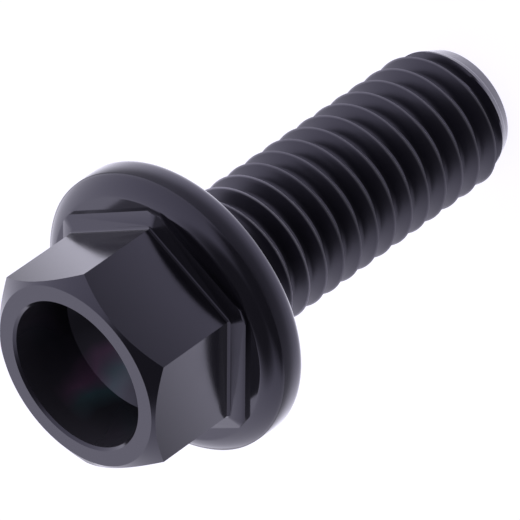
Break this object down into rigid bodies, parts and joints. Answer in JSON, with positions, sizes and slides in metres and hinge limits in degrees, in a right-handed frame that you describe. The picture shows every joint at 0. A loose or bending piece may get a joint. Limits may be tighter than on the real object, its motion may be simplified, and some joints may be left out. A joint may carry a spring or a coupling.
{
  "type": "flange bolt",
  "caption": "Short metric hex flange bolt with a recessed hexagon head and a threaded shank, for clamping a thin part without a washer.",
  "frame": {"origin": "centre of the bearing face under the flange", "axes": "+Z along the bolt axis, from the shank towards the head; a corner of the hexagon on +X"},
  "size_m": [0.012, 0.012, 0.0222],
  "materials": {
    "black_coat": "satin black hard coat on machined metal"
  },
  "bodies": {
    "root": {"flange_bolt": "black_coat"}
  },
  "joints": []
}
